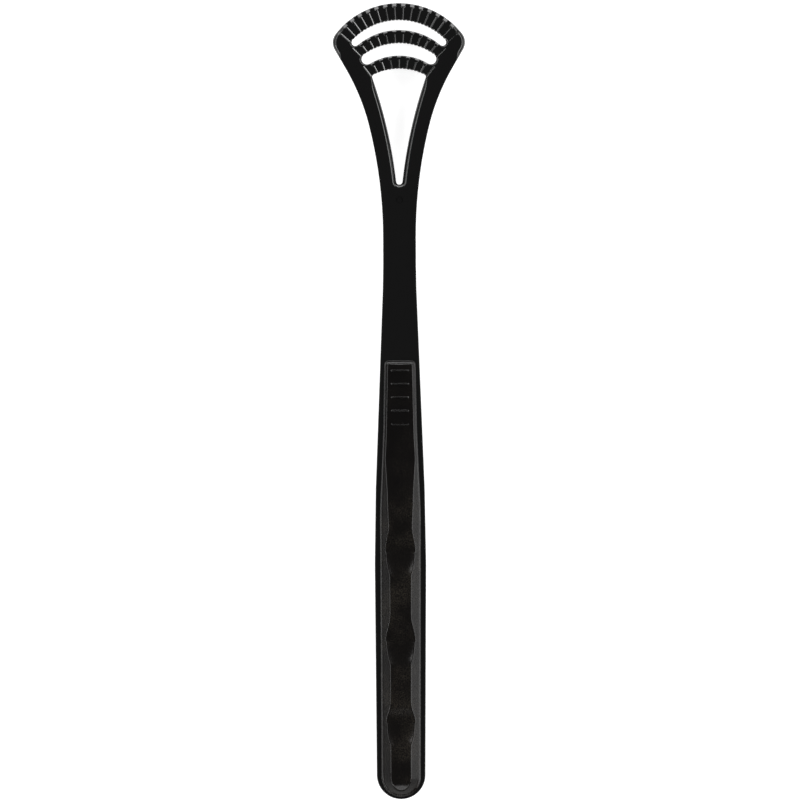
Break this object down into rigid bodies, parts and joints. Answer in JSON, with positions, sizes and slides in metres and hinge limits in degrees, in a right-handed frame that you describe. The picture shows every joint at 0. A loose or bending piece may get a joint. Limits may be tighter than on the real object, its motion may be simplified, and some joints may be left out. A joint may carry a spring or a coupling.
{
  "type": "tongue scraper",
  "caption": "Hand-held tongue scraper: a fan-shaped open head with curved ribbed bars, a slim neck and a straight handle with soft grips on both faces.",
  "frame": {"origin": "under the middle of the tool, on the surface that the rear grip rests on", "axes": "+Y from the butt to the tip of the head, +Z from the rear grip up to the front grip, X across the tool"},
  "size_m": [0.0316, 0.19, 0.0092],
  "materials": {
    "hard_plastic": "glossy black moulded plastic",
    "soft_grip": "matte black moulded elastomer with a fine grain"
  },
  "bodies": {
    "root": {"frame": "hard_plastic", "front_grip": "soft_grip", "rear_grip": "soft_grip"}
  },
  "joints": []
}
